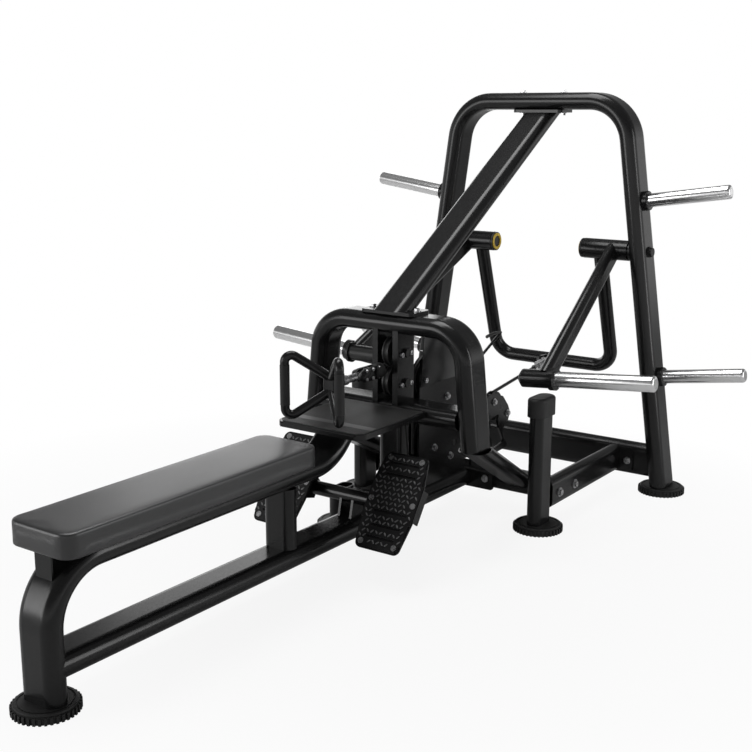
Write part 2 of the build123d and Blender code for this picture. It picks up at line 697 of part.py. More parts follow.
with BuildPart() as footplate_crossbar:
    with BuildSketch(along_y(crossbar_x, -crossbar_half, crossbar_z)):
        Circle(crossbar_r)
        Circle(crossbar_r - wall, mode=Mode.SUBTRACT)
    extrude(amount=2 * crossbar_half)
    for y in (-26, 18):
        with BuildSketch(side_view(y)):
            with BuildLine():
                Polyline((crossbar_x - 34, rail_top), (crossbar_x + 34, rail_top),
                         (crossbar_x + 20, crossbar_z), (crossbar_x - 20, crossbar_z), close=True)
            make_face()
            with Locations((crossbar_x, crossbar_z)):
                Circle(crossbar_r, mode=Mode.SUBTRACT)
        extrude(amount=-8)
    for start in (-crossbar_half - 4, crossbar_half - 10):
        with BuildSketch(along_y(crossbar_x, start, crossbar_z)):
            Circle(crossbar_r - wall)
        extrude(amount=14)
finish(footplate_crossbar.part, "footplate_crossbar")

# ---------------------------------------------------------------- storage pegs
with BuildPart() as storage_pegs:
    for name, s in sides:
        for z in peg_z:
            base = outward(s, gantry_x, gantry_outer_y(z), z, degrees(gantry_lean))
            with BuildSketch(base.offset(peg_flange)):
                Circle(peg_r)
            extrude(amount=peg_len)
    rims = storage_pegs.edges().filter_by(GeomType.CIRCLE)
    fillet(rims.filter_by(lambda e: abs(e.center().Y) > gantry_outer_y(e.center().Z) + peg_len / 2), peg_round)
finish(storage_pegs.part, "storage_pegs")

with BuildPart() as peg_flanges:
    for name, s in sides:
        for z in peg_z:
            base = outward(s, gantry_x, gantry_outer_y(z), z, degrees(gantry_lean))
            with BuildSketch(base):
                Circle(peg_flange_r)
            extrude(amount=peg_flange)
    rims = peg_flanges.edges().filter_by(GeomType.CIRCLE)
    fillet(rims.filter_by(lambda e: abs(e.center().Y) > gantry_outer_y(e.center().Z) + peg_flange / 2),
           peg_flange_round)
finish(peg_flanges.part, "peg_flanges")

# ---------------------------------------------------------------- swing frame
# fixed stub shafts that it hangs on, one through each gantry leg
cap_t = 8.0
outer_cap_r, outer_cap_t = 16.0, 10.0
shaft_end = gantry_outer_y(pivot_z - shaft_r)
with BuildPart() as pivot_shafts:
    for name, s in sides:
        with BuildSketch(outward(s, gantry_x, sleeve_in - 2, pivot_z, 0)):
            Circle(shaft_r)
        extrude(amount=shaft_end - sleeve_in + 2)
        # boss between the sleeve and the leg
        with BuildSketch(outward(s, gantry_x, sleeve_out + 0.5, pivot_z, 0)):
            Circle(tube_h / 2)
        extrude(amount=40)
        with BuildSketch(Plane.YZ.offset(gantry_x - tube_w)):
            with BuildLine():
                past_leg(s, gantry_inner_y, pivot_z - sleeve_r, pivot_z + sleeve_r)
            make_face()
        extrude(amount=2 * tube_w, mode=Mode.SUBTRACT)
        with BuildSketch(outward(s, gantry_x, sleeve_in - 2, pivot_z, 0)):
            Circle(shaft_r)
        extrude(amount=shaft_end - sleeve_in + 2)
finish(pivot_shafts.part, "pivot_shafts")

with BuildPart() as pivot_caps:
    for name, s in sides:
        with BuildSketch(outward(s, gantry_x, sleeve_in - 2 - cap_t, pivot_z, 0)):
            Circle(sleeve_r - 1)
        extrude(amount=cap_t)
        with BuildSketch(outward(s, gantry_x, shaft_end, pivot_z, 0)):
            Circle(outer_cap_r)
        extrude(amount=outer_cap_t)
finish(pivot_caps.part, "pivot_caps")

with BuildPart() as pivot_rings:
    for name, s in sides:
        with BuildSketch(outward(s, gantry_x, sleeve_in - 5 - cap_t, pivot_z, 0)):
            Circle(sleeve_r - 5)
            Circle(sleeve_r - 15, mode=Mode.SUBTRACT)
        extrude(amount=3)
finish(pivot_rings.part, "pivot_rings")

tilt = radians(horn_tilt)
horn_x = front_x + horn_run


def horn_axis_z(y):
    """Height of the tilted horn axis at half width y."""
    return horn_z + (y - horn_y) * tan(tilt)


for name, s in sides:
    with BuildPart() as swing_arm:
        top = Vector(gantry_x, s * arm_top_y, pivot_z)
        run = Vector(horn_x, s * arm_low_y, horn_axis_z(arm_low_y)) - top
        with BuildSketch(Plane(origin=top, x_dir=run.cross(Vector(0, 1, 0)).normalized(),
                               z_dir=run.normalized())):
            oval(arm_w, arm_h)
        extrude(amount=run.length)
        # crosspiece that carries the horn, pointed at its inner end
        with BuildSketch(outward(s, horn_x, cross_in, horn_axis_z(cross_in), horn_tilt)):
            Circle(cross_r)
        extrude(amount=(horn_y - cross_in) / cos(tilt))
        with BuildSketch(outward(s, horn_x, cross_in, horn_axis_z(cross_in), horn_tilt)):
            Circle(cross_r)
        extrude(amount=-18, taper=50)
        # sleeve that turns on the shaft
        with BuildSketch(outward(s, gantry_x, sleeve_in, pivot_z, 0)):
            Circle(sleeve_r)
        extrude(amount=sleeve_out - sleeve_in)
        with BuildSketch(outward(s, gantry_x, sleeve_in - 40, pivot_z, 0)):
            Circle(shaft_bore)
        extrude(amount=sleeve_out - sleeve_in + 80, mode=Mode.SUBTRACT)
    finish(swing_arm.part, f"swing_arm_{name}")

    with BuildPart() as weight_horn:
        horn_base = outward(s, horn_x, horn_y, horn_axis_z(horn_y), horn_tilt).offset(collar_len)
        with BuildSketch(horn_base):
            Circle(horn_r)
        extrude(amount=horn_len)
        rims = weight_horn.edges().filter_by(GeomType.CIRCLE)
        fillet(rims.sort_by(lambda e: abs(e.center().Y))[-1], horn_round)
    finish(weight_horn.part, f"weight_horn_{name}")

with BuildPart() as horn_collars:
    for name, s in sides:
        with BuildSketch(outward(s, horn_x, horn_y, horn_axis_z(horn_y), horn_tilt)):
            Circle(collar_r)
        extrude(amount=collar_len)
finish(horn_collars.part, "horn_collars")

u_low_x, u_low_z = gantry_x + pin_back, pivot_z - u_drop
with BuildPart() as swing_u_tube:
    with BuildLine() as u_path:
        FilletPolyline((gantry_x, u_y, pivot_z), (u_low_x, u_y, u_low_z),
                       (u_low_x, -u_y, u_low_z), (gantry_x, -u_y, pivot_z), radius=u_bend)
    with BuildSketch(Plane(origin=u_path.line @ 0, x_dir=(0, 1, 0), z_dir=u_path.line % 0)):
        Circle(u_r)
        Circle(u_r - wall, mode=Mode.SUBTRACT)
    sweep()
    for name, s in sides:
        with BuildSketch(outward(s, gantry_x, sleeve_in - 40, pivot_z, 0)):
            Circle(sleeve_r)
        extrude(amount=sleeve_out - sleeve_in + 80, mode=Mode.SUBTRACT)
finish(swing_u_tube.part, "swing_u_tube")

pin_x = front_x + link_run
pin_z = cable_rise_z + (link_run - cable_rise_at) * tan(slope)
pin_r, ear_t, ear_gap = 8.0, 8.0, 13.0
ear_lean = degrees(atan2(u_low_z - pin_z, u_low_x - pin_x))
with BuildPart() as cable_ears:
    for start in (ear_gap, -ear_gap - ear_t):
        with BuildSketch(side_view(start)):
            with Locations(((u_low_x + pin_x) / 2, (u_low_z + pin_z) / 2)):
                SlotCenterToCenter(hypot(u_low_x - pin_x, u_low_z - pin_z), 40, rotation=ear_lean)
        extrude(amount=-ear_t)
    with BuildSketch(along_y(u_low_x, -tube_w, u_low_z)):
        Circle(u_r)
    extrude(amount=2 * tube_w, mode=Mode.SUBTRACT)
    with BuildSketch(side_view(-tube_w)):
        with Locations((u_low_x + tube_w, u_low_z)):
            Rectangle(2 * tube_w, 4 * tube_w)
    extrude(amount=-2 * tube_w, mode=Mode.SUBTRACT)
    with BuildSketch(along_y(pin_x, -tube_w, pin_z)):
        Circle(pin_r)
    extrude(amount=2 * tube_w, mode=Mode.SUBTRACT)
finish(cable_ears.part, "cable_ears")

with BuildPart() as ear_pin:
    half = ear_gap + ear_t
    with BuildSketch(along_y(pin_x, -half, pin_z)):
        Circle(pin_r)
    extrude(amount=2 * half)
    for start in (-half - 5, half):
        with BuildSketch(along_y(pin_x, start, pin_z)):
            Circle(pin_r + 5)
        extrude(amount=5)
finish(ear_pin.part, "ear_pin")

# link in line with the cable, from the pin to the cable's end
toward = Plane(origin=(pin_x, 0, pin_z), x_dir=(-cos(slope), 0, -sin(slope)), z_dir=(0, -1, 0))
link_half = ear_gap - 1
with BuildPart() as cable_link:
    with BuildSketch(toward.offset(-link_half)):
        Circle(15)
        with Locations(((link_len - 26) / 2, 0)):
            Rectangle(link_len - 26, 24)
        Circle(pin_r + running, mode=Mode.SUBTRACT)
    extrude(amount=2 * link_half)
    with BuildSketch(Plane(origin=toward.from_local_coords(Vector(link_len - 26, 0, 0)),
                           x_dir=(0, 1, 0), z_dir=toward.x_dir)):
        Circle(10)
    extrude(amount=26)
finish(cable_link.part, "cable_link")

# ---------------------------------------------------------------- cable and handle
apex_x, grip_x = front_x + apex_run, front_x + grip_run
socket_run = 1240.0
cable_front = front_x + socket_run
link_tip = toward.from_local_coords(Vector(link_len, 0, 0))
with BuildPart() as drive_cable:
    with BuildLine() as cable_path:
        FilletPolyline((cable_front, 0, cable_z), (drop_x, 0, cable_z), (drop_x, 0, drop_z),
                       (rise_x, 0, cable_rise_z), link_tip, radius=[turn_r, guide_r, guide_r])
    with BuildSketch(along_x(cable_front, 0, cable_z)):
        Circle(cable_r)
    sweep()
finish(drive_cable.part, "drive_cable")

# V of two upright D loops; each runs from the apex block out to its grip
half_rise = 19.0                      # bars leave the apex block this far above and below it
with BuildPart() as handle_frame:
    for name, s in sides:
        out = Vector(grip_x - apex_x, s * grip_y, 0)
        with BuildLine() as loop:
            FilletPolyline((apex_x, 0, cable_z + half_rise),
                           (grip_x, s * grip_y, grip_high), (grip_x, s * grip_y, grip_low),
                           (apex_x, 0, cable_z - half_rise), radius=handle_bend)
        start = loop.line % 0
        with BuildSketch(Plane(origin=loop.line @ 0, x_dir=start.cross(out).normalized(), z_dir=start)):
            Circle(bar_r)
        sweep()
    with BuildSketch(Plane.XY.offset(cable_z - half_rise - bar_r)):
        with Locations((apex_x + 6, 0)):
            RectangleRounded(40, 44, 6)
    extrude(amount=2 * (half_rise + bar_r))
    with BuildSketch(along_x(apex_x + 20, 0, cable_z)):
        Circle(11)
    extrude(amount=26)
finish(handle_frame.part, "handle_frame")

grip_mid = (grip_low + grip_high) / 2
with BuildPart() as handle_grips:
    for name, s in sides:
        with BuildSketch(along_z(grip_x, s * grip_y, grip_mid - grip_len / 2)):
            Circle(grip_r)
            Circle(bar_r, mode=Mode.SUBTRACT)
        extrude(amount=grip_len)
finish(handle_grips.part, "handle_grips")

# swivel, socket and rubber stop between the handle and the guide pulleys
swivel_start = apex_x + 46
stop_x = front_x + 1292
with BuildPart() as cable_socket:
    with BuildSketch(along_x(swivel_start, 0, cable_z)):
        Circle(15)
    extrude(amount=24)
    with BuildSketch(along_x(swivel_start + 24, 0, cable_z)):
        Circle(8)
    extrude(amount=14)
    with BuildSketch(along_x(swivel_start + 38, 0, cable_z)):
        Circle(12)
    extrude(amount=cable_front - swivel_start - 38)
finish(cable_socket.part, "cable_socket")

with BuildPart() as cable_stop:
    with BuildSketch(along_x(stop_x, 0, cable_z)):
        Circle(24)
        Circle(cable_r, mode=Mode.SUBTRACT)
    extrude(amount=40)
    fillet(cable_stop.edges().filter_by(GeomType.CIRCLE).sort_by(lambda e: e.radius)[-2:], 8)
finish(cable_stop.part, "cable_stop")

# ---------------------------------------------------------------- fasteners
bolt_r, bolt_head = 9.0, 7.0
washer_r, washer_t = 13.0, 2.5
rail_bolt_runs = (cross_x - 22, cross_x + 90)
tower_bolts = ((turn_x - 63, turn_z + 10), (turn_x + 74, turn_z - 69),
               (low_x - 126, low_z + 12), (low_x - 25, low_z - 40))
bracket_bolts = ((rear_x - 50, rear_z + 28), (rear_x + 47, rear_z - 32))

plate_face = housing_gap + tower_t
bolt_places = [(outward(-1, x, plate_face, z, 0), bolt_r) for x, z in tower_bolts]
for s in (1, -1):
    # beam flanges: heads above, nuts under the upper plate
    for x, z in ((arch_x, beam_low), (gantry_x, gantry_top_z + tube_h / 2)):
        bolt_places.append((along_z(x, s * flange_bolt_y, z), bolt_r))
    bolt_places.append((Plane(origin=(gantry_x, s * flange_bolt_y, beam_high), x_dir=(0, 1, 0),
                              z_dir=(0, 0, -1)), bolt_r))
    # side rails to the front cross tube, their end plates to the rear one, and the rail flange
    for x in rail_bolt_runs:
        bolt_places.append((outward(s, x, post_y + post_h / 2, rail_z - 3, 0), bolt_r + 2))
    for x, y, z in ((rear_face - end_plate_t, post_y - end_bolt_y, rail_z - 4),
                    (rear_face - end_plate_t, post_y + end_bolt_y, rail_z - 4),
                    (rail_end, rail_bolt_y, rail_z + 8)):
        bolt_places.append((Plane(origin=(x, s * y, z), x_dir=(0, 1, 0), z_dir=(-1, 0, 0)), bolt_r))
    for x, z in bracket_bolts:
        bolt_places.append((outward(s, x, plate_face, z, 0), bolt_r))

with BuildPart() as frame_bolts:
    for base, r in bolt_places:
        with BuildSketch(base):
            Circle(washer_r * r / bolt_r)
        extrude(amount=washer_t)
        with BuildSketch(base.offset(washer_t)):
            RegularPolygon(r, 6)
        extrude(amount=bolt_head)
finish(frame_bolts.part, "frame_bolts")

with BuildPart() as footplate_bolts:
    for name, s in sides:
        face = Plane(origin=(foot_row_x, s * foot_plate_y, foot_row_z), x_dir=(0, -1, 0),
                     z_dir=(-cos(lean), 0, sin(lean)))
        for v, across in foot_bolt_rows:
            with BuildSketch(face.offset(-sheet - 3)):
                with Locations((-across, v), (across, v)):
                    Circle(5)
            extrude(amount=sheet + 3)
            with BuildSketch(face):
                with Locations((-across, v), (across, v)):
                    Circle(9)
            extrude(amount=4)
finish(footplate_bolts.part, "footplate_bolts")
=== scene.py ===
import bmesh
import bpy
import json
from math import atan2, cos, hypot, pi, radians, sin
from mathutils import Matrix, Quaternion, Vector


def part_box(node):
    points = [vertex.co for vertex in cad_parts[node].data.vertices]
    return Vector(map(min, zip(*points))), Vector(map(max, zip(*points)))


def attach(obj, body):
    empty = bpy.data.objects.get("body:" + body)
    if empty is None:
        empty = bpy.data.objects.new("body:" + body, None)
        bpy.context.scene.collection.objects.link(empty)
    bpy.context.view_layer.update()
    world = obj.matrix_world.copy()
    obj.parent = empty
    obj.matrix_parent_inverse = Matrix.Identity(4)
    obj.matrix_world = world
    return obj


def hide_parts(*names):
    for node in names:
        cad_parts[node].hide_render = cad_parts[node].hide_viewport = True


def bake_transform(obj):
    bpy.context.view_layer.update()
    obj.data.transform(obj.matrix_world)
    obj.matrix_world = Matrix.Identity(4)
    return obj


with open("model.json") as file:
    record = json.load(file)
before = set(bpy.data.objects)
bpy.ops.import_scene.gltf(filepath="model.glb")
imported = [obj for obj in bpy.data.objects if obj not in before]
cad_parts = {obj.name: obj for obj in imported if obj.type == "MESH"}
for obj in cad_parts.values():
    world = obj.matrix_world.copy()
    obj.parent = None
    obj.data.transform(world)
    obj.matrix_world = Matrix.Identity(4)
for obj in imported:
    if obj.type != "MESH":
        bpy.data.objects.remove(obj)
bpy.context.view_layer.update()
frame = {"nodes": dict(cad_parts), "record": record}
bpy.ops.object.select_all(action="DESELECT")

# ---------------------------------------------------------------- camera
CAMERA_PLACE = (-2.8096, -2.0681, 1.3505)
CAMERA_FORWARD = (0.79384, 0.56703, -0.21970)
CAMERA_ROLL = 0.001
SENSOR_WIDTH, LENS = 36.0, 56.61      # millimetres

camera_data = bpy.data.cameras.new("camera")
camera = bpy.data.objects.new("camera", camera_data)
bpy.context.scene.collection.objects.link(camera)
bpy.context.scene.camera = camera
camera_data.sensor_width = SENSOR_WIDTH
camera_data.lens = LENS
camera.location = CAMERA_PLACE
camera.rotation_mode = "QUATERNION"
camera.rotation_quaternion = (Vector(CAMERA_FORWARD).to_track_quat("-Z", "Y")
                              @ Quaternion((0, 0, 1), CAMERA_ROLL))
bpy.context.scene.view_settings.view_transform = "Standard"


# ---------------------------------------------------------------- shader maths
class Wire:
    """A shader value. Sums, products and quotients of wires and numbers add Math nodes."""

    def __init__(self, recipe, node, output=0):
        self.recipe = recipe
        self.node = node
        self.socket = node.outputs[output] if node.outputs else None

    def out(self, output):
        """Another output of the same node."""
        return Wire(self.recipe, self.node, output)

    def math(self, operation, *values):
        return self.recipe.add("ShaderNodeMath", {"operation": operation}, dict(enumerate(values)))

    def __add__(self, other):
        return self.math("ADD", self, other)

    def __sub__(self, other):
        return self.math("SUBTRACT", self, other)

    def __rsub__(self, other):
        return self.math("SUBTRACT", other, self)

    def __mul__(self, other):
        return self.math("MULTIPLY", self, other)

    def __truediv__(self, other):
        return self.math("DIVIDE", self, other)

    __radd__ = __add__
    __rmul__ = __mul__


class Recipe:
    """The node tree of one material, or of the world."""

    def __init__(self, owner):
        self.owner = owner
        owner.use_nodes = True
        self.tree = owner.node_tree
        self.tree.nodes.clear()

    def add(self, kind, settings=None, sockets=None, output=0):
        """One node: its settings first, then the values or links of its sockets."""
        node = self.tree.nodes.new(kind)
        for name, value in (settings or {}).items():
            if name == "stops":
                ramp = node.color_ramp.elements
                while len(ramp) < len(value):
                    ramp.new(0.5)
                for stop, (place, grey) in zip(ramp, value):
                    stop.position = place
                    stop.color = (grey, grey, grey, 1)
            else:
                setattr(node, name, value)
        for name, value in (sockets or {}).items():
            if isinstance(value, Wire):
                self.tree.links.new(value.socket, node.inputs[name])
            else:
                node.inputs[name].default_value = value
        return Wire(self, node, output)

    def place(self, centre=(0, 0, 0), turn=(0, 0, 0), scale=(1, 1, 1)):
        """Object coordinates, centred, turned and scaled for a pattern."""
        where = self.add("ShaderNodeTexCoord", output="Object")
        return self.add("ShaderNodeMapping", {"vector_type": "TEXTURE"},
                        {"Vector": where, "Location": centre, "Rotation": turn, "Scale": scale})

    def noise(self, where, scale, detail=2.0, roughness=0.5):
        return self.add("ShaderNodeTexNoise", {}, {"Vector": where, "Scale": scale, "Detail": detail,
                                                   "Roughness": roughness})

    def parts(self, where):
        """The x, y and z of a vector."""
        split = self.add("ShaderNodeSeparateXYZ", {}, {"Vector": where})
        return split, split.out(1), split.out(2)

    def blend(self, factor, first, second):
        """A colour between two colours."""
        return self.add("ShaderNodeMix", {"data_type": "RGBA"}, {0: factor, 6: first, 7: second}, 2)

    def bump(self, height, depth, strength=1.0):
        return self.add("ShaderNodeBump", {}, {"Height": height, "Distance": depth, "Strength": strength})

    def surface(self, **sockets):
        """The Principled shader and the output. Underscores in names stand for spaces."""
        named = {name.replace("_", " "): value for name, value in sockets.items()}
        shader = self.add("ShaderNodeBsdfPrincipled", {}, named)
        self.add("ShaderNodeOutputMaterial", {}, {"Surface": shader})
        return self.owner


def grey(level, blue=1.0):
    """A neutral colour, a little cooler as blue rises above 1."""
    return (level, level, level * blue, 1.0)


# ---------------------------------------------------------------- finishes
def powder_coat(name, level=0.008, shine=0.22):
    """Satin black paint: fine orange peel, slow changes of gloss and a trace of dust."""
    coat = Recipe(bpy.data.materials.new(name))
    where = coat.place()
    peel = coat.noise(where, 900.0, 1.0)
    slow = coat.noise(where, 7.0, 3.0)
    mottle = coat.noise(where, 60.0, 2.0)
    colour = coat.blend(mottle, grey(level * 0.8, 1.03), grey(level * 1.25, 1.03))
    return coat.surface(Base_Color=colour, Roughness=shine + (slow - 0.5) * 0.10 + (mottle - 0.5) * 0.05,
                        Specular_IOR_Level=0.35, Normal=coat.bump(peel, 0.00006, 0.5))


def polished_chrome(name):
    """Bright chrome on a ground bar, with fine rings round it from the grinding."""
    bar = Recipe(bpy.data.materials.new(name))
    rings = bar.noise(bar.place(scale=(1, 0.02, 1)), 18.0, 3.0)
    cloud = bar.noise(bar.place(), 14.0, 2.0)
    return bar.surface(Base_Color=bar.blend(rings, grey(0.74), grey(0.88, 1.01)), Metallic=1.0,
                       Roughness=0.13 + rings * 0.08 + cloud * 0.05, Normal=bar.bump(rings, 0.00001, 0.1))


def padded_vinyl(name, level=0.022):
    """Black upholstery vinyl with a pebbled grain, whose valleys are painted darker as painted shade."""
    vinyl = Recipe(bpy.data.materials.new(name))
    where = vinyl.place()
    pebbles = vinyl.add("ShaderNodeTexVoronoi", {"feature": "DISTANCE_TO_EDGE"},
                        {"Vector": where, "Scale": 520.0, "Randomness": 0.9})
    fine = vinyl.noise(where, 1600.0, 1.0)
    slow = vinyl.noise(where, 5.0, 3.0)
    crease = pebbles.math("SMOOTH_MIN", pebbles, 0.18, 0.1)
    height = crease * 3.0 + fine * 0.25
    # painted shade: where crease is low, in the valleys of the grain, the colour is darker
    colour = vinyl.blend(crease * 4.0, grey(level * 0.75, 1.04), grey(level, 1.06))
    return vinyl.surface(Base_Color=colour, Roughness=0.38 - crease * 0.25 + (slow - 0.5) * 0.12,
                         Specular_IOR_Level=0.75, Normal=vinyl.bump(height, 0.00015, 0.45))


def moulded(name, level=0.016, rough=0.55, grain=700.0, depth=0.00008):
    """Moulded rubber or plastic with a fine eroded grain."""
    mould = Recipe(bpy.data.materials.new(name))
    where = mould.place()
    fine = mould.noise(where, grain, 2.0, 0.6)
    slow = mould.noise(where, 18.0, 3.0)
    colour = mould.blend(slow, grey(level * 0.8), grey(level * 1.2))
    return mould.surface(Base_Color=colour, Roughness=rough + (fine - 0.5) * 0.15 + (slow - 0.5) * 0.1,
                         Specular_IOR_Level=0.4, Normal=mould.bump(fine, depth, 0.6))


def plated_steel(name, level=0.55, rough=0.28, metal=1.0):
    """Zinc or black oxide on steel, with a cloudy finish."""
    steel = Recipe(bpy.data.materials.new(name))
    where = steel.place()
    cloud = steel.noise(where, 90.0, 4.0, 0.6)
    fine = steel.noise(where, 800.0, 2.0)
    return steel.surface(Base_Color=steel.blend(cloud, grey(level * 0.75), grey(level * 1.15, 1.02)),
                         Metallic=metal, Roughness=rough + (cloud - 0.5) * 0.2,
                         Normal=steel.bump(fine, 0.00003, 0.4))


def yellow_bush(name):
    """Bright yellow plastic of the pivot bushes."""
    bush = Recipe(bpy.data.materials.new(name))
    fine = bush.noise(bush.place(), 500.0, 2.0)
    return bush.surface(Base_Color=bush.blend(fine, (0.62, 0.40, 0.02, 1), (0.78, 0.55, 0.05, 1)),
                        Roughness=0.42 + (fine - 0.5) * 0.1, Normal=bush.bump(fine, 0.00005, 0.4))


PAINT = powder_coat("satin_black_paint")
CHROME = polished_chrome("bright_chrome")
VINYL = padded_vinyl("pad_vinyl")
RUBBER = moulded("black_rubber")
MAT_RUBBER = moulded("mat_rubber", 0.040, 0.46, 500.0)
GRIP_RUBBER = moulded("grip_rubber", 0.014, 0.62, 1200.0, 0.00012)
NYLON = moulded("pulley_nylon", 0.018, 0.42, 400.0, 0.00004)
JACKET = moulded("cable_jacket", 0.014, 0.36, 500.0, 0.00005)
TREAD = powder_coat("tread_paint", 0.009, 0.30)
# painted highlight: the tread's raised dashes get a much brighter, part-metal finish than the tread paint,
# standing in for the glints on them, not wear
GLINT_STEEL = plated_steel("dash_glint_steel", 0.16, 0.34, 0.6)
ZINC = plated_steel("zinc_steel")
OXIDE = plated_steel("black_oxide", 0.05, 0.34, 0.8)
CAP_PLASTIC = moulded("cap_plastic", 0.016, 0.40, 600.0, 0.00005)
YELLOW = yellow_bush("yellow_plastic")

FINISH_OF_SLOT = {"frame_black": PAINT, "chrome_steel": CHROME, "pad_vinyl": VINYL, "black_rubber": RUBBER,
                  "mat_rubber": MAT_RUBBER, "grip_rubber": GRIP_RUBBER, "pulley_nylon": NYLON,
                  "cable_jacket": JACKET, "zinc_steel": ZINC, "dark_fastener": OXIDE,
                  "cap_plastic": CAP_PLASTIC, "yellow_plastic": YELLOW}
for part in frame["record"]["subparts"]:
    node = frame["nodes"][part["node"]]
    node.data.materials.clear()
    node.data.materials.append(FINISH_OF_SLOT[part["material_slot"]])


# ---------------------------------------------------------------- modelling helpers
def only(piece):
    """Makes the piece the one that operators act on."""
    bpy.ops.object.select_all(action="DESELECT")
    piece.select_set(True)
    bpy.context.view_layer.objects.active = piece


def pick(piece, test):
    """In edit mode, selects the faces whose centre and normal pass the test."""
    bpy.ops.mesh.select_mode(type="FACE")
    bpy.ops.mesh.select_all(action="DESELECT")
    mesh = bmesh.from_edit_mesh(piece.data)
    for face in mesh.faces:
        face.select_set(bool(test(face.calc_center_median(), face.normal)))
    bmesh.update_edit_mesh(piece.data)


def raised(height):
    """In edit mode, extrudes the selected faces along their own normals."""
    bpy.ops.mesh.extrude_region_shrink_fatten(TRANSFORM_OT_shrink_fatten={"value": height})


def pushed(x, y, z):
    """In edit mode, extrudes the selection by that much."""
    bpy.ops.mesh.extrude_region_move(TRANSFORM_OT_translate={"value": (x, y, z)})


def smooth(piece, angle=35.0):
    """Smooth shading, with edges sharper than the angle in degrees left crisp."""
    only(piece)
    bpy.ops.object.shade_smooth_by_angle(angle=radians(angle))


def copied(pattern, place):
    """A copy of the pattern with its own mesh, at that place."""
    twin = bpy.data.objects.new(pattern.name, pattern.data.copy())
    bpy.context.scene.collection.objects.link(twin)
    twin.matrix_world = place
    return twin


def joined(shapes):
    """The shapes as one object, with their places in the mesh."""
    bpy.ops.object.select_all(action="DESELECT")
    for shape in shapes:
        shape.select_set(True)
    bpy.context.view_layer.objects.active = shapes[0]
    bpy.ops.object.transform_apply(location=True, rotation=True, scale=True)
    if len(shapes) > 1:
        bpy.ops.object.join()
    return shapes[0]


def finished(shapes, name, finish, body, nodes=()):
    """Joins the shapes into one named piece that rides on a body, if one is named."""
    piece = joined(shapes)
    piece.name = name
    piece.data.name = name
    piece.data.materials.clear()
    piece.data.materials.append(finish)
    if nodes:
        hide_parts(*nodes)
    if body:
        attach(piece, body)
    return piece


def facing(place, direction, spin=0.0):
    """A place whose own z axis points that way."""
    turn = Vector(direction).to_track_quat("Z", "Y") @ Quaternion((0, 0, 1), spin)
    return Matrix.Translation(Vector(place)) @ turn.to_matrix().to_4x4()


def middle(node):
    """Centre of a node's box at rest."""
    low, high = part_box(node)
    return (low + high) / 2


# ---------------------------------------------------------------- chrome bars
BAR_ROUND = 0.009                     # rounding of a bar's outer end
RING_INSET, RING_WIDTH = 0.12, 0.06   # turned ring in the end face, as shares of the radius
RING_DEPTH = 0.0008


def chrome_bar(mount):
    """Ground and chromed bar with a domed end and a fine turned ring in its face."""
    radius, length = mount["dims"]["r_mm"] / 1000, mount["dims"]["length_mm"] / 1000 + BAR_ROUND
    direction = Vector(mount["axis"])
    start = Vector(mount["pos_m"]) - direction * mount["dims"]["length_mm"] / 2000
    bpy.ops.object.select_all(action="DESELECT")
    bpy.ops.mesh.primitive_cylinder_add(vertices=96, radius=radius, depth=length, location=(0, 0, 0))
    bar = bpy.context.object
    bpy.ops.object.mode_set(mode="EDIT")
    pick(bar, lambda centre, normal: normal.z > 0.9)
    bpy.ops.mesh.bevel(offset=BAR_ROUND * 0.95, segments=8, affect="EDGES")
    pick(bar, lambda centre, normal: normal.z > 0.99 and centre.z > length / 2 - 1e-5)
    bpy.ops.mesh.inset(thickness=radius * RING_INSET)
    pushed(0, 0, -RING_DEPTH)
    bpy.ops.mesh.inset(thickness=radius * RING_WIDTH)
    pushed(0, 0, RING_DEPTH)
    bpy.ops.object.mode_set(mode="OBJECT")
    smooth(bar)
    bar.matrix_world = facing(start + direction * length / 2, direction)
    return bar


mounts = {mount["name"]: mount for mount in frame["record"]["mounts"]}
for side in ("left", "right"):
    finished([chrome_bar(mounts["weight_horn_" + side])], "loading_horn_" + side, CHROME,
             "swing_frame", ("weight_horn_" + side,))
finished([chrome_bar(mounts[name]) for name in sorted(mounts) if name.startswith("storage_peg")],
         "storage_bars", CHROME, "base", ("storage_pegs",))


# ---------------------------------------------------------------- feet
FOOT_TEETH, FOOT_RADIUS, TOOTH = 38, 0.082, 0.0045
FOOT_RIM, FOOT_HEIGHT = 0.018, 0.024
GUTTER = 0.002                        # depth of the gutter in a foot's top
OUTRIGGER_INSET = 0.025               # from the outrigger's free end to the middle of its foot


def rubber_foot():
    """Moulded foot: a ring of square teeth, and a stepped top with a shallow gutter."""
    bpy.ops.object.select_all(action="DESELECT")
    bpy.ops.mesh.primitive_cylinder_add(vertices=4 * FOOT_TEETH, radius=FOOT_RADIUS - TOOTH, depth=FOOT_RIM,
                                        location=(0, 0, FOOT_RIM / 2))
    foot = bpy.context.object
    bpy.ops.object.transform_apply(location=True)
    bpy.ops.object.mode_set(mode="EDIT")
    pick(foot, lambda centre, normal: abs(normal.z) < 0.1
         and (atan2(centre.y, centre.x) / (2 * pi) * FOOT_TEETH) % 1.0 < 0.5)
    raised(TOOTH)
    pick(foot, lambda centre, normal: normal.z > 0.9 and Vector(centre[:2]).length < 0.01)
    bpy.ops.mesh.inset(thickness=0.002)
    pushed(0, 0, FOOT_HEIGHT - FOOT_RIM)
    bpy.ops.mesh.bevel(offset=0.002, segments=3, affect="EDGES")
    pick(foot, lambda centre, normal: normal.z > 0.99 and Vector(centre[:2]).length < 0.01
         and centre.z > FOOT_HEIGHT - 1e-4)
    bpy.ops.mesh.inset(thickness=0.006)
    pushed(0, 0, -GUTTER)
    bpy.ops.mesh.inset(thickness=0.004)
    pushed(0, 0, GUTTER)
    bpy.ops.object.mode_set(mode="OBJECT")
    smooth(foot, 30)
    return foot


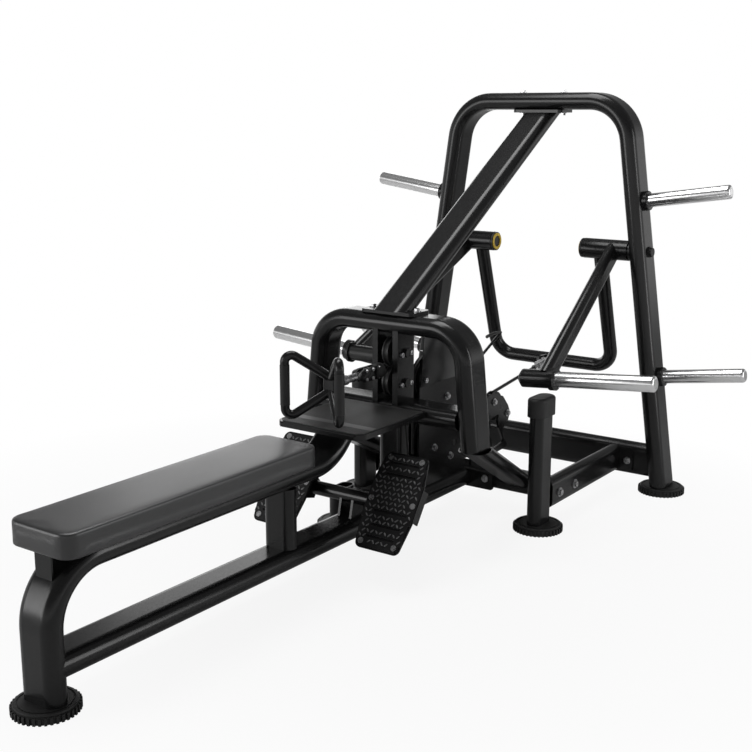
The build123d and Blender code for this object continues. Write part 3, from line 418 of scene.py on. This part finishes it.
def foot_places():
    """Middle of each foot on the floor, from the posts and legs that stand on them."""
    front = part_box("levelling_feet")[0].x + FOOT_RADIUS
    places = [(front, 0.0)]
    places.append((middle("outrigger").x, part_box("outrigger")[1].y - OUTRIGGER_INSET))
    for side in ("left", "right"):
        post = middle("bump_post_" + side)
        places.append((post.x, post.y))
    gantry = middle("gantry_frame")
    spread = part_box("levelling_feet")[1].y - FOOT_RADIUS
    places += [(gantry.x, spread), (gantry.x, -spread)]
    return places


pattern_foot = rubber_foot()
feet = [pattern_foot] + [copied(pattern_foot, Matrix.Translation((x, y, 0))) for x, y in foot_places()[1:]]
pattern_foot.location = (*foot_places()[0], 0)
finished(feet, "toothed_feet", RUBBER, "base", ("levelling_feet",))


# ---------------------------------------------------------------- footplates
PLATE_LEAN = radians(34.7)
PLATE_FOOT = (-0.1815, 0.196, 0.125)  # lower bolt row, middle of a footplate
SLOTS = ((0.249, -0.046, 0.048), (0.211, -0.046, 0.047), (0.095, -0.058, 0.046), (0.054, -0.055, 0.043),
         (0.015, -0.046, 0.043))      # height on the plate, and where each slot ends across it
BOLT_ROWS = ((0.0, 0.058), (0.131, 0.073), (0.264, 0.055))
PLATE_HALF, WAIST_HALF = 0.084, 0.072 # half widths of the sheet, widest part and lower end
WAIST_TOP, SHOULDER = 0.080, 0.190    # heights between which the sheet is widest
SHEET_LOW, SHEET_TOP, SHEET_CORNER = -0.016, 0.276, 0.016
SKIN, DASH = 0.0022, 0.0016           # thickness of the tread sheet, height of its dashes
CELL = 0.0072                         # one cell of the grid that the sheet is cut from
COLUMNS, ROWS, SHEET_MIDDLE = 24, 40, 0.130
DASH_HALF, DASH_SLIMNESS, DASH_TAPER, DASH_CROWN = 0.0066, 0.34, 0.0007, 0.0003
DASH_PITCH, FIRST_DASH = 0.0152, 0.003
SLOT_ROOM, BOLT_ROOM = 0.0085, 0.015  # bare margin round slots and bolts


def on_plate(u, v):
    """True inside the tread sheet's outline. u runs towards the machine's centre, v up the slope."""
    if v > SHOULDER:
        half = PLATE_HALF - (v - SHOULDER) * 0.16
    elif v > WAIST_TOP:
        half = PLATE_HALF
    else:
        half = WAIST_HALF + max(v + 0.02, 0.0) * 0.12
    corner = min(v - SHEET_LOW, SHEET_TOP - v)
    return corner > 0 and abs(u) < half - max(0.0, SHEET_CORNER - corner) * 0.8


def clear_of_slots(u, v, room):
    """True where the place is at least that far from every cross slot."""
    return all(abs(v - at) > room or u < low - room or u > high + room for at, low, high in SLOTS)


def clear_of_bolts(u, v, room):
    """True where the place is farther than that from every bolt."""
    return all(hypot(abs(u) - across, v - at) > room for at, across in BOLT_ROWS)


def tread_sheet(side):
    """Punched tread sheet on a footplate: cross slots, and raised dashes that lean both ways."""
    bpy.ops.object.select_all(action="DESELECT")
    bpy.ops.mesh.primitive_grid_add(x_subdivisions=COLUMNS, y_subdivisions=ROWS, size=1.0)
    sheet = bpy.context.object
    sheet.scale = (COLUMNS * CELL, ROWS * CELL, 1.0)
    sheet.location = (0, SHEET_MIDDLE, 0)
    bpy.ops.object.transform_apply(location=True, scale=True)
    bpy.ops.object.mode_set(mode="EDIT")
    pick(sheet, lambda centre, normal: not on_plate(centre.x, centre.y)
         or not clear_of_slots(centre.x, centre.y, CELL / 2))
    bpy.ops.mesh.delete(type="FACE")
    bpy.ops.mesh.select_all(action="SELECT")
    pushed(0, 0, SKIN)
    bpy.ops.mesh.select_all(action="SELECT")
    bpy.ops.mesh.normals_make_consistent(inside=False)
    bpy.ops.object.mode_set(mode="OBJECT")
    bpy.ops.mesh.primitive_cylinder_add(vertices=8, radius=DASH_HALF, depth=DASH, location=(0, 0, 0))
    dash = bpy.context.object
    dash.scale = (1.0, DASH_SLIMNESS, 1.0)
    bpy.ops.object.transform_apply(scale=True)
    bpy.ops.object.mode_set(mode="EDIT")
    pick(dash, lambda centre, normal: normal.z > 0.9)
    bpy.ops.mesh.inset(thickness=DASH_TAPER)
    bpy.ops.transform.translate(value=(0, 0, DASH_CROWN))
    bpy.ops.object.mode_set(mode="OBJECT")
    dashes = []
    for row in range(-1, 19):
        for column in range(-6, 7):
            u = column * DASH_PITCH + (row % 2) * DASH_PITCH / 2
            v = FIRST_DASH + row * DASH_PITCH
            if (on_plate(u * 1.08, v + 0.006) and on_plate(u * 1.08, v - 0.006)
                    and clear_of_slots(u, v, SLOT_ROOM) and clear_of_bolts(u, v, BOLT_ROOM)):
                turn = Matrix.Rotation(radians(45 if (row + column) % 2 else -45), 4, "Z")
                dashes.append(copied(dash, Matrix.Translation((u, v, SKIN + DASH / 2 - 1e-5)) @ turn))
    bpy.data.objects.remove(dash)
    hand = 1 if side == "left" else -1
    across = Vector((0, -hand, 0))
    upward = Vector((sin(PLATE_LEAN), 0, cos(PLATE_LEAN)))
    outward = Vector((-cos(PLATE_LEAN), 0, sin(PLATE_LEAN)))
    frame_of_plate = Matrix((across, upward, outward)).transposed().to_4x4()
    origin = Vector((PLATE_FOOT[0], hand * PLATE_FOOT[1], PLATE_FOOT[2]))
    for whole in (sheet, joined(dashes)):
        smooth(whole, 30)
        whole.matrix_world = Matrix.Translation(origin) @ frame_of_plate
        only(whole)
        bpy.ops.object.transform_apply(location=True, rotation=True, scale=True)
        bpy.ops.object.mode_set(mode="EDIT")
        bpy.ops.mesh.select_all(action="SELECT")
        bpy.ops.mesh.normals_make_consistent(inside=False)
        bpy.ops.object.mode_set(mode="OBJECT")
    return sheet, dashes[0]


for side in ("left", "right"):
    tread, raised_dashes = tread_sheet(side)
    finished([tread], "footplate_tread_" + side, TREAD, "base")
    # the dashes' bright finish is a painted glint
    finished([raised_dashes], "footplate_dashes_" + side, GLINT_STEEL, "base")


# ---------------------------------------------------------------- tray mat
RIB, RIB_PITCH = 0.0011, 0.0050
BAND_FROM, BAND_TO = 0.050, 0.082     # the plain band, from the mat's edge at the seat
MAT_CORNER = 0.0125                   # cut off the two corners at the seat


def ribbed_mat():
    """Rubber mat with ribs across the tray, and a plain band where the handle rests."""
    low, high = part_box("tray_mat")
    ribs = int((high.x - low.x) / RIB_PITCH) // 2 * 2 + 1
    bpy.ops.object.select_all(action="DESELECT")
    bpy.ops.mesh.primitive_grid_add(x_subdivisions=2 * ribs - 1, y_subdivisions=1, size=1.0)
    mat = bpy.context.object
    mat.scale = (high.x - low.x, high.y - low.y, 1.0)
    mat.location = ((low.x + high.x) / 2, 0, low.z)
    bpy.ops.object.transform_apply(location=True, scale=True)
    bpy.ops.object.mode_set(mode="EDIT")
    bpy.ops.mesh.select_all(action="SELECT")
    pushed(0, 0, high.z - low.z - RIB)
    bpy.ops.mesh.select_all(action="SELECT")
    bpy.ops.mesh.normals_make_consistent(inside=False)
    step = (high.x - low.x) / (2 * ribs - 1)
    band_from, band_to = low.x + BAND_FROM, low.x + BAND_TO
    top = high.z - RIB - 1e-4

    def on_rib(centre, normal):
        plain = band_from < centre.x < band_to
        return normal.z > 0.9 and centre.z > top and (plain or int((centre.x - low.x) / step) % 2 == 0)

    pick(mat, on_rib)
    pushed(0, 0, RIB)
    bpy.ops.object.mode_set(mode="OBJECT")
    # the two corners at the seat are cut off at a slant
    only(mat)
    bpy.ops.object.mode_set(mode="EDIT")
    for x, y in ((low.x, low.y), (low.x, high.y)):
        bpy.ops.mesh.select_all(action="SELECT")
        inward = Vector((1.0, 1.0 if y < 0 else -1.0, 0)).normalized()
        bpy.ops.mesh.bisect(plane_co=Vector((x, y, 0)) + inward * MAT_CORNER, plane_no=inward,
                            use_fill=True, clear_inner=True)
    bpy.ops.object.mode_set(mode="OBJECT")
    return mat


finished([ribbed_mat()], "ribbed_tray_mat", MAT_RUBBER, "base", ("tray_mat",))


# ---------------------------------------------------------------- cable
CABLE, TURN_R, GUIDE_R = 0.006, 0.075, 0.048
DROP_Z, RISE_X, RISE_Z = 0.170, 0.7945, 0.3551      # corners of the route, as on the part
LAST_RUN = radians(6.7)                              # slope of the run up to the swing frame
ROPE_SIDES, ROPE_STEP = 20, 0.004                    # sides of the cable, length of a step round a pulley
TUCKED_IN = 0.004                                    # how far an end goes into what holds it
# Known fault: face select mode is still on when the ring is made, so pushed() moves it and draws no
# tube, and round_pulley() turns the wrong way. So run_cable is off its route.


def cable_from(start, direction):
    """One ring of the cable, in edit mode, ready to be drawn out."""
    bpy.ops.object.select_all(action="DESELECT")
    bpy.ops.mesh.primitive_circle_add(vertices=ROPE_SIDES, radius=CABLE, fill_type="NOTHING")
    rope = bpy.context.object
    rope.matrix_world = facing(start, direction)
    bpy.ops.object.transform_apply(location=True, rotation=True)
    bpy.ops.object.mode_set(mode="EDIT")
    bpy.ops.mesh.select_all(action="SELECT")
    return rope


def cable_closed(rope):
    """Both ends closed and the faces turned outwards."""
    bpy.ops.mesh.select_mode(type="VERT")
    bpy.ops.mesh.select_all(action="SELECT")
    bpy.ops.mesh.remove_doubles(threshold=1e-6)
    bpy.ops.mesh.select_all(action="DESELECT")
    bpy.ops.mesh.select_non_manifold(extend=False)
    bpy.ops.mesh.edge_face_add()
    bpy.ops.mesh.select_all(action="SELECT")
    bpy.ops.mesh.normals_make_consistent(inside=False)
    bpy.ops.object.mode_set(mode="OBJECT")
    smooth(rope, 50)
    return rope


def round_pulley(centre, angle, radius):
    """In edit mode, draws the cable's last ring round a pulley's axle."""
    steps = max(4, int(abs(angle) * radius / ROPE_STEP))
    bpy.ops.mesh.spin(steps=steps, angle=angle, center=(centre[0], 0, centre[1]), axis=(0, 1, 0))


turning, low_wheel, rear_wheel = (middle(name) for name in ("turning_pulley", "low_pulley", "rear_pulley"))
guides_x = middle("guide_pulley_upper").x
socket_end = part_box("cable_socket")[1].x
cable_z = turning.z + TURN_R
drop_x = turning.x + TURN_R
climb = atan2(RISE_Z - DROP_Z, RISE_X - drop_x)
leaves_low = Vector((low_wheel.x + GUIDE_R * sin(climb), 0, low_wheel.z - GUIDE_R * cos(climb)))
meets_rear = Vector((rear_wheel.x - GUIDE_R * sin(climb), 0, rear_wheel.z + GUIDE_R * cos(climb)))
leaves_rear = Vector((rear_wheel.x - GUIDE_R * sin(LAST_RUN), 0, rear_wheel.z + GUIDE_R * cos(LAST_RUN)))
last_direction = Vector((cos(LAST_RUN), 0, sin(LAST_RUN)))

rope = cable_from((socket_end - TUCKED_IN, 0, cable_z), (1, 0, 0))
pushed(guides_x - socket_end + TUCKED_IN, 0, 0)
pushed(turning.x - guides_x, 0, 0)
round_pulley((turning.x, turning.z), pi / 2, TURN_R)
pushed(0, 0, low_wheel.z - turning.z)
round_pulley((low_wheel.x, low_wheel.z), -pi / 2 - climb, GUIDE_R)
pushed(*(meets_rear - leaves_low))
round_pulley((rear_wheel.x, rear_wheel.z), climb - LAST_RUN, GUIDE_R)
run_cable = finished([cable_closed(rope)], "run_cable", JACKET, None, ("drive_cable",))
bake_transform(run_cable)

tail_length = (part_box("cable_link")[0].x + TUCKED_IN - leaves_rear.x) / cos(LAST_RUN)
rope = cable_from(leaves_rear, last_direction)
pushed(*(last_direction * tail_length))
finished([cable_closed(rope)], "tail_cable", JACKET, "link")


# ---------------------------------------------------------------- cable clamp and tower cover
def flat_plate(outline, y, thickness, edge=0.0012):
    """Upright plate in the X-Z plane with chamfered edges, from its corners."""
    mesh = bpy.data.meshes.new("plate")
    mesh.from_pydata([(x, y, z) for x, z in outline], [], [range(len(outline))])
    plate = bpy.data.objects.new("plate", mesh)
    bpy.context.scene.collection.objects.link(plate)
    only(plate)
    bpy.ops.object.mode_set(mode="EDIT")
    bpy.ops.mesh.select_all(action="SELECT")
    pushed(0, thickness, 0)
    bpy.ops.mesh.select_all(action="SELECT")
    bpy.ops.mesh.normals_make_consistent(inside=False)
    bpy.ops.mesh.bevel(offset=edge, segments=2, affect="EDGES")
    bpy.ops.object.mode_set(mode="OBJECT")
    smooth(plate, 30)
    return plate


def cap_screw(place, direction, radius=0.0052, head=0.0050):
    """Cap screw with a washer and a hexagon socket."""
    bpy.ops.object.select_all(action="DESELECT")
    bpy.ops.mesh.primitive_cylinder_add(vertices=24, radius=radius, depth=head, location=(0, 0, head / 2))
    screw = bpy.context.object
    bpy.ops.object.transform_apply(location=True)
    bpy.ops.object.mode_set(mode="EDIT")
    pick(screw, lambda centre, normal: normal.z > 0.9)
    bpy.ops.mesh.bevel(offset=radius * 0.18, segments=2, affect="EDGES")
    pick(screw, lambda centre, normal: normal.z > 0.99 and centre.z > head - 1e-5)
    bpy.ops.mesh.inset(thickness=radius * 0.3)
    pushed(0, 0, -head * 0.5)
    pick(screw, lambda centre, normal: normal.z < -0.9)
    bpy.ops.mesh.inset(thickness=-radius * 0.35)
    bpy.ops.object.mode_set(mode="OBJECT")
    smooth(screw, 30)
    screw.matrix_world = facing(place, direction)
    return screw


CLAMP_LAP, CLAMP_REACH = 0.012, 0.078  # over the socket, and past its end
CLAMP_HALF, CHEEK = 0.021, 0.007       # half height and thickness of a cheek
NOSE, NOSE_HALF = 0.030, 0.007         # the taper towards the handle
SCREW_RISE, SCREW_PLACES = 0.0135, (0.012, 0.044, 0.076)

clamp_from, clamp_to = socket_end - CLAMP_LAP, socket_end + CLAMP_REACH
cheek_outline = [(clamp_from - NOSE, cable_z - NOSE_HALF), (clamp_from, cable_z - CLAMP_HALF),
                 (clamp_to, cable_z - CLAMP_HALF), (clamp_to, cable_z + CLAMP_HALF),
                 (clamp_from, cable_z + CLAMP_HALF), (clamp_from - NOSE, cable_z + NOSE_HALF)]
cheeks = [flat_plate(cheek_outline, y, CHEEK) for y in (-CABLE - CHEEK, CABLE)]
finished(cheeks, "cable_clamp", PAINT, "handle")
screws = [cap_screw((x, hand * (CABLE + CHEEK), cable_z + rise), (0, hand, 0))
          for hand in (1, -1) for rise in (-SCREW_RISE, SCREW_RISE)
          for x in (clamp_from + place for place in SCREW_PLACES)]
finished(screws, "cable_clamp_screws", ZINC, "handle")

COVER, COVER_HALF = 0.003, 0.085       # thickness and half height
COVER_OUTLINE = ((-0.090, -COVER_HALF), (0.150, -COVER_HALF), (0.135, -0.045), (0.075, COVER_HALF),
                 (-0.070, COVER_HALF), (-0.080, -0.010))    # from the turning pulley and the cable

cover = flat_plate([(turning.x + across, cable_z + rise) for across, rise in COVER_OUTLINE],
                   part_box("tower_plates")[0].y - COVER, COVER)
finished([cover], "tower_cover", PAINT, "base")
HOUSING_SCREW, HOUSING_HEAD = 0.008, 0.007
SCREW_DROP, SCREW_SIDES = 0.004, (-0.024, 0.026)            # from a guide pulley's axle

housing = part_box("guide_housing_plates")
guides = [middle("guide_pulley_upper"), middle("guide_pulley_lower")]
pairs = [cap_screw((guide.x + aside, housing[0].y, guide.z - SCREW_DROP), (0, -1, 0), HOUSING_SCREW,
                   HOUSING_HEAD)
         for guide in guides for aside in SCREW_SIDES]
finished(pairs, "housing_screws", ZINC, "base")


# ---------------------------------------------------------------- seat pad
PAD_SHRINK = 0.0010                   # room left under the vinyl for the swelling
PAD_SWELL = 0.0009                    # the most that the air may push the vinyl out
PAD_VOXEL = 0.005
BOARD_DEPTH = 0.006                   # lowest part of the pad, held by its board
AIR_PRESSURE, AIR_FRAMES = 4.0, 20
VINYL_STIFFNESS = 30.0


def seat_cushion():
    """Foam under tight vinyl: swelled by air pressure over a flat board."""
    source = frame["nodes"]["seat_pad"]
    low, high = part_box("seat_pad")
    pad = bpy.data.objects.new("seat_cushion", source.data.copy())
    bpy.context.scene.collection.objects.link(pad)
    only(pad)
    bpy.ops.object.mode_set(mode="EDIT")
    bpy.ops.mesh.select_all(action="SELECT")
    bpy.ops.mesh.remove_doubles(threshold=1e-5)
    bpy.ops.mesh.normals_make_consistent(inside=False)
    bpy.ops.object.mode_set(mode="OBJECT")
    centre = (low + high) / 2
    size = high - low
    for vertex in pad.data.vertices:
        vertex.co.x = centre.x + (vertex.co.x - centre.x) * (1 - 2 * PAD_SHRINK / size.x)
        vertex.co.y *= 1 - 2 * PAD_SHRINK / size.y
        vertex.co.z = low.z + (vertex.co.z - low.z) * (1 - PAD_SHRINK / size.z)
    pad.data.remesh_voxel_size = PAD_VOXEL
    bpy.ops.object.voxel_remesh()
    board = pad.vertex_groups.new(name="board")
    board.add([v.index for v in pad.data.vertices if v.co.z < low.z + BOARD_DEPTH], 1.0, "REPLACE")
    rest = [vertex.co.copy() for vertex in pad.data.vertices]
    air = pad.modifiers.new("air", "CLOTH")
    air.settings.use_pressure = True
    air.settings.uniform_pressure_force = AIR_PRESSURE
    air.settings.effector_weights.gravity = 0.0
    air.settings.vertex_group_mass = "board"
    air.settings.tension_stiffness = VINYL_STIFFNESS
    air.settings.compression_stiffness = VINYL_STIFFNESS
    for step in range(1, AIR_FRAMES + 1):
        bpy.context.scene.frame_set(step)
    only(pad)
    bpy.ops.object.modifier_apply(modifier="air")
    bpy.context.scene.frame_set(1)
    for vertex, was in zip(pad.data.vertices, rest):
        moved = vertex.co - was
        if moved.length > PAD_SWELL:
            vertex.co = was + moved * (PAD_SWELL / moved.length)
        vertex.co.z = min(vertex.co.z, high.z)
    relax = pad.modifiers.new("relax", "SMOOTH")
    relax.iterations = 2
    only(pad)
    bpy.ops.object.modifier_apply(modifier="relax")
    fine = pad.modifiers.new("fine", "SUBSURF")
    fine.levels = fine.render_levels = 1
    bpy.ops.object.modifier_apply(modifier="fine")
    bpy.ops.object.shade_smooth()
    pad.vertex_groups.clear()
    return pad


cushion = finished([seat_cushion()], "seat_cushion", VINYL, "base", ("seat_pad",))


# ---------------------------------------------------------------- studio
FLOOR_LEVEL = 0.72                    # grey of the floor
FLOOR_WHITE = 0.88                    # share of plain white in the floor that the camera sees
FADE_AREA = 30.0                      # square metres over which the floor fades to white
FLOOR_RADIUS = 60.0
HORIZON_TOP, CEILING_FROM = 0.04, 0.30  # heights in the sky where the white ends and the ceiling begins
CEILING = 0.20                        # grey of the ceiling


def rays_that_see(recipe):
    """1 for camera, glossy and transmission rays, 0 for the rays that only light the machine."""
    seen = recipe.add("ShaderNodeLightPath")
    shown = seen.out("Is Camera Ray") + seen.out("Is Glossy Ray") + seen.out("Is Transmission Ray")
    return shown.math("MINIMUM", shown, 1.0), seen.out("Is Camera Ray")


def studio_floor():
    """Pale floor that keeps the shadow near the machine and fades to the white round it."""
    bpy.ops.mesh.primitive_circle_add(vertices=96, radius=FLOOR_RADIUS, fill_type="NGON", location=(0, 0, 0))
    floor = bpy.context.object
    floor.name = "studio_floor"
    paint = Recipe(bpy.data.materials.new("floor_white"))
    x, y, z = paint.parts(paint.place())
    away = (x * x + y * y) / FADE_AREA
    shown, camera_ray = rays_that_see(paint)
    white = paint.add("ShaderNodeEmission", {}, {"Color": grey(1.0), "Strength": 1.0})
    matt = paint.add("ShaderNodeBsdfDiffuse", {}, {"Color": grey(FLOOR_LEVEL)})
    seen = away.math("MINIMUM", FLOOR_WHITE + away, 1.0) * camera_ray
    mirrored = away.math("MINIMUM", away * 0.06, 1.0) * (shown - camera_ray)
    mixed = paint.add("ShaderNodeMixShader", {}, {0: seen + mirrored, 1: matt, 2: white})
    paint.add("ShaderNodeOutputMaterial", {}, {"Surface": mixed})
    floor.data.materials.append(paint.owner)


def soft_box(name, place, aim, width, height, level):
    """A panel of that brightness, where 1 is as bright as white paper in plain light."""
    lamp = bpy.data.lights.new(name, "AREA")
    lamp.shape = "RECTANGLE"
    lamp.size = width
    lamp.size_y = height
    lamp.energy = level * pi * width * height
    box = bpy.data.objects.new(name, lamp)
    bpy.context.scene.collection.objects.link(box)
    box.location = place
    box.rotation_euler = (Vector(aim) - Vector(place)).to_track_quat("-Z", "Y").to_euler()
    box.visible_camera = False


def studio_light():
    """White round the horizon, a grey ceiling above, and soft boxes."""
    world = bpy.data.worlds.new("studio")
    bpy.context.scene.world = world
    sky = Recipe(world)
    x, y, height = sky.parts(sky.add("ShaderNodeTexCoord", output="Generated"))
    shade = sky.add("ShaderNodeValToRGB", {"stops": ((HORIZON_TOP, 1.0), (CEILING_FROM, CEILING))},
                    {"Fac": height})
    shown, camera_ray = rays_that_see(sky)
    room = sky.add("ShaderNodeBackground", {}, {"Color": shade, "Strength": 1.0})
    white = sky.add("ShaderNodeBackground", {}, {"Color": grey(1.0), "Strength": 1.0})
    mixed = sky.add("ShaderNodeMixShader", {}, {0: camera_ray, 1: room, 2: white})
    sky.add("ShaderNodeOutputWorld", {}, {"Surface": mixed})
    soft_box("front_box", (-4.2, 2.6, 1.3), (0, 0, 0.6), 1.8, 2.4, 4.0)
    soft_box("top_box", (0.3, 0.6, 4.0), (0.1, 0, 0.3), 3.4, 1.4, 6.0)
    soft_box("side_box", (2.0, -4.2, 1.4), (0.4, 0, 0.6), 0.8, 2.6, 5.0)
    soft_box("back_box", (3.4, 3.0, 1.5), (-0.4, 0, 0.5), 2.8, 1.8, 1.6)


studio_floor()
studio_light()
